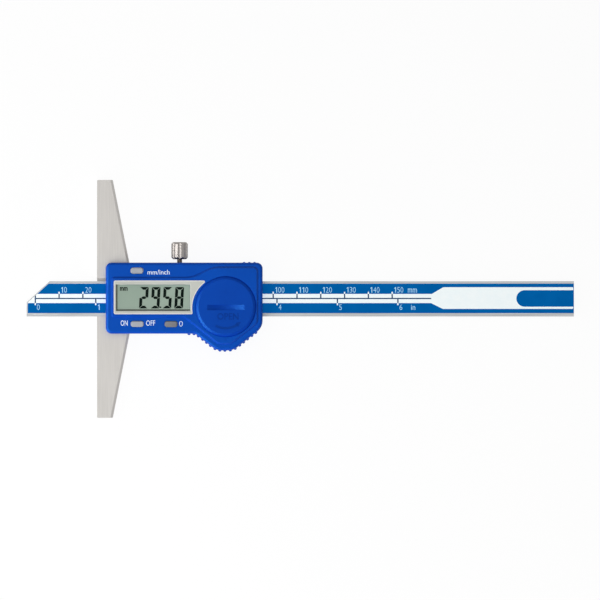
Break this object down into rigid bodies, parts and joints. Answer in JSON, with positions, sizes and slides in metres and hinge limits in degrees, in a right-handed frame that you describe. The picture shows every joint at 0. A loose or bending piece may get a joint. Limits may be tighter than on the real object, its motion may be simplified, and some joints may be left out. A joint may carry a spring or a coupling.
{
  "type": "digital depth gauge",
  "caption": "Digital depth gauge with a wedge-sided steel base, a sliding bevel-tipped beam, a moulded blue housing with display, buttons, battery cover and a fluted lock screw.",
  "frame": {"origin": "where the beam's centreline crosses the plane of the base's measuring face, halfway through the base's thickness", "axes": "+X along the beam, from the measuring face towards the beam's rear end; +Y towards the lock screw; +Z out of the display. The gauge lies on its back."},
  "size_m": [0.23, 0.1, 0.0141],
  "materials": {
    "ground_steel": "satin ground",
    "beam_steel": "satin ground",
    "gib_brass": "plain",
    "screw_steel": "zinc plated",
    "lock_chrome": "bright turned",
    "blue_plastic": "moulded",
    "grey_plastic": "moulded",
    "clear_window": "polished",
    "lcd_glass": "polarised glass",
    "zebra_rubber": "elastomer strip",
    "circuit_board": "solder mask",
    "chip_black": "moulded",
    "can_steel": "nickel plated",
    "label_film": "printed film",
    "button_grey": "satin",
    "button_dark": "satin",
    "contact_spring": "plated spring strip"
  },
  "bodies": {
    "slider": {"slider_frame": "ground_steel", "gib_strip": "gib_brass", "gib_screws": "screw_steel", "front_housing": "blue_plastic", "housing_screws": "screw_steel", "display_bezel": "grey_plastic", "display_lens": "clear_window", "lcd_panel": "lcd_glass", "lcd_connector": "zebra_rubber", "main_board": "circuit_board", "board_screws": "screw_steel", "controller_chip": "chip_black", "timing_crystal": "can_steel", "button_domes": "contact_spring", "battery": "can_steel", "negative_contact": "contact_spring", "positive_contact": "contact_spring"},
    "beam_body": {"beam": "beam_steel", "scale_board": "circuit_board", "scale_label": "label_film", "beam_stop": "beam_steel", "stop_screws": "screw_steel"},
    "plug_body": {"lock_plug": "gib_brass"},
    "screw_body": {"lock_screw": "lock_chrome"},
    "cover_body": {"battery_cover": "blue_plastic"},
    "unit_button_body": {"unit_button": "button_grey"},
    "power_button_body": {"power_button": "button_grey"},
    "zero_button_body": {"zero_button": "button_dark"}
  },
  "joints": [
    {"name": "beam_slide", "type": "slide", "parent": "slider", "child": "beam_body", "axis": [1, 0, 0], "range_m": [-0.12042, 0.02958]},
    {"name": "lock_advance", "type": "slide", "parent": "slider", "child": "plug_body", "axis": [0, 1, 0], "range_m": [-0.00019, 0.0009]},
    {"name": "lock_turn", "type": "hinge", "parent": "plug_body", "child": "screw_body", "pos_m": [0.0347, 0.016, 0.00135], "axis": [0, 1, 0], "range_deg": [-150, 720]},
    {"name": "cover_turn", "type": "hinge", "parent": "slider", "child": "cover_body", "pos_m": [0.0541, -0.0033, 0.00825], "axis": [0, 0, 1], "range_deg": [0, 40]},
    {"name": "unit_press", "type": "slide", "parent": "slider", "child": "unit_button_body", "axis": [0, 0, -1], "range_m": [0, 0.0004], "stiffness_N_per_m": 500},
    {"name": "power_press", "type": "slide", "parent": "slider", "child": "power_button_body", "axis": [0, 0, -1], "range_m": [0, 0.0004], "stiffness_N_per_m": 500},
    {"name": "zero_press", "type": "slide", "parent": "slider", "child": "zero_button_body", "axis": [0, 0, -1], "range_m": [0, 0.0004], "stiffness_N_per_m": 500}
  ],
  "couplings": [
    {"joint": "lock_turn", "follows": "lock_advance", "rad_per_m": 13963}
  ]
}
